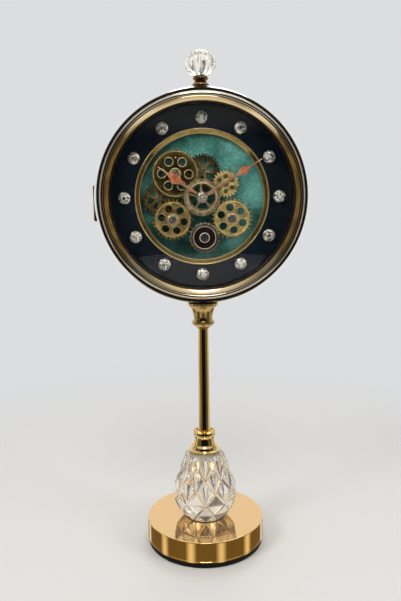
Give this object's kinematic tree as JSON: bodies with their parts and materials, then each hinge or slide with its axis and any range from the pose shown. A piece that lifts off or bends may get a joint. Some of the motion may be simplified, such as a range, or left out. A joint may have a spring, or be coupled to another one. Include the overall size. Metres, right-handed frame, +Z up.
{
  "type": "gear table clock",
  "caption": "Table clock with an open gear dial in a round chromed case, on a turned gold column, a cut crystal egg and a round gold base.",
  "frame": {"origin": "centre of the underside of the foot pad", "axes": "+Z up, the dial faces -Y, +X to the right of someone who looks at the dial"},
  "size_m": [0.2185, 0.1244, 0.51],
  "materials": {
    "pad_black": "matt",
    "base_gold": "polished and lacquered",
    "weight_iron": "as cast",
    "steel_bright": "plain",
    "crystal_clear": "cut and polished",
    "stand_gold": "polished and lacquered",
    "saddle_black": "matt",
    "case_chrome": "mirror",
    "gasket_black": "satin",
    "bezel_gold": "polished and lacquered",
    "glass_dome": "clear",
    "inner_black": "satin",
    "plate_teal": "mottled satin",
    "ring_navy": "gloss",
    "stone_clear": "cut, foil backed",
    "wheel_gold": "polished",
    "wheel_rose": "satin",
    "wheel_bronze": "dark satin",
    "wheel_olive": "satin",
    "hand_copper": "metallic lacquer",
    "movement_black": "moulded",
    "knob_ivory": "moulded",
    "cell_steel": "plain",
    "door_black": "satin",
    "hinge_brass": "satin"
  },
  "bodies": {
    "clock": {"base_pad": "pad_black", "base_shell": "base_gold", "base_weight": "weight_iron", "rod_foot_nut": "steel_bright", "tie_rod": "steel_bright", "rod_head_nut": "steel_bright", "egg_washers": "crystal_clear", "crystal_egg": "crystal_clear", "lower_collar": "stand_gold", "column_tube": "stand_gold", "upper_capital": "stand_gold", "saddle_washer": "saddle_black", "case_band": "case_chrome", "case_gasket": "gasket_black", "bezel_frame": "bezel_gold", "bezel_glass": "glass_dome", "glass_retainer": "inner_black", "dial_sleeve": "inner_black", "dial_board": "inner_black", "board_screws": "steel_bright", "dial_plate": "plate_teal", "dial_step_ring": "bezel_gold", "dial_ring": "ring_navy", "hour_stones": "stone_clear", "gear_posts": "steel_bright", "gear_caps": "steel_bright", "movement_box": "movement_black", "movement_stem": "wheel_gold", "stem_nut": "wheel_gold", "clock_cell": "cell_steel", "gear_motor": "steel_bright", "battery_box": "movement_black", "battery_cells": "cell_steel", "case_leaf": "hinge_brass", "hinge_pin": "steel_bright", "finial_neck": "stand_gold", "finial_crystal": "crystal_clear", "finial_stud": "steel_bright"},
    "door": {"rear_door": "door_black", "door_leaf": "hinge_brass"},
    "minute": {"minute_hand": "hand_copper", "minute_arbor": "steel_bright", "hand_nut": "hand_copper"},
    "hour": {"hour_hand": "hand_copper", "hour_pipe": "wheel_gold"},
    "centre_wheel": {"centre_gear": "wheel_rose"},
    "left_wheel": {"left_gear": "wheel_gold"},
    "right_wheel": {"right_gear": "wheel_gold"},
    "drive_wheel": {"drive_gear": "wheel_bronze", "drive_shaft": "steel_bright"},
    "upper_wheel": {"upper_gear": "wheel_gold"},
    "petal_wheel": {"petal_gear": "wheel_bronze"},
    "side_wheel": {"side_gear": "wheel_bronze"},
    "big_wheel": {"big_gear": "wheel_olive"},
    "knob": {"setting_knob": "knob_ivory"},
    "switch": {"power_switch": "knob_ivory"},
    "lid": {"battery_lid": "movement_black"}
  },
  "joints": [
    {"name": "door_swing", "type": "hinge", "parent": "clock", "child": "door", "pos_m": [-0.10865, 0.0121, 0.364], "axis": [0, 0, 1], "range_deg": [0, 110]},
    {"name": "minute_spin", "type": "hinge", "parent": "clock", "child": "minute", "pos_m": [0, 0, 0.369], "axis": [0, 1, 0], "continuous": true},
    {"name": "hour_spin", "type": "hinge", "parent": "clock", "child": "hour", "pos_m": [0, 0, 0.369], "axis": [0, 1, 0], "continuous": true},
    {"name": "knob_turn", "type": "hinge", "parent": "clock", "child": "knob", "pos_m": [0.013, 0, 0.357], "axis": [0, 1, 0], "continuous": true},
    {"name": "big_spin", "type": "hinge", "parent": "clock", "child": "big_wheel", "pos_m": [-0.02594, 0, 0.39197], "axis": [0, -1, 0], "continuous": true},
    {"name": "centre_spin", "type": "hinge", "parent": "clock", "child": "centre_wheel", "pos_m": [0, 0, 0.369], "axis": [0, -1, 0], "continuous": true},
    {"name": "left_spin", "type": "hinge", "parent": "clock", "child": "left_wheel", "pos_m": [-0.02906, 0, 0.3475], "axis": [0, -1, 0], "continuous": true},
    {"name": "right_spin", "type": "hinge", "parent": "clock", "child": "right_wheel", "pos_m": [0.02936, 0, 0.34791], "axis": [0, -1, 0], "continuous": true},
    {"name": "drive_spin", "type": "hinge", "parent": "clock", "child": "drive_wheel", "pos_m": [0.00211, 0, 0.32953], "axis": [0, -1, 0], "continuous": true},
    {"name": "upper_spin", "type": "hinge", "parent": "clock", "child": "upper_wheel", "pos_m": [0.02344, 0, 0.38189], "axis": [0, -1, 0], "continuous": true},
    {"name": "petal_spin", "type": "hinge", "parent": "clock", "child": "petal_wheel", "pos_m": [0.0012, 0, 0.39473], "axis": [0, -1, 0], "continuous": true},
    {"name": "side_spin", "type": "hinge", "parent": "clock", "child": "side_wheel", "pos_m": [-0.04334, 0, 0.36819], "axis": [0, -1, 0], "continuous": true},
    {"name": "lid_slide", "type": "slide", "parent": "clock", "child": "lid", "axis": [0, 0, 1], "range_m": [0, 0.022]},
    {"name": "switch_slide", "type": "slide", "parent": "clock", "child": "switch", "axis": [0, 0, 1], "range_m": [0, 0.004]}
  ],
  "couplings": [
    {"joint": "petal_spin", "follows": "big_spin", "ratio": -0.7},
    {"joint": "upper_spin", "follows": "big_spin", "ratio": 1.1667},
    {"joint": "centre_spin", "follows": "big_spin", "ratio": -1.0769},
    {"joint": "left_spin", "follows": "big_spin", "ratio": 0.96552},
    {"joint": "right_spin", "follows": "big_spin", "ratio": 0.96552},
    {"joint": "drive_spin", "follows": "big_spin", "ratio": -1.3333},
    {"joint": "side_spin", "follows": "big_spin", "ratio": -0.65517},
    {"joint": "hour_spin", "follows": "minute_spin", "ratio": 0.083333},
    {"joint": "knob_turn", "follows": "minute_spin", "ratio": 1}
  ]
}
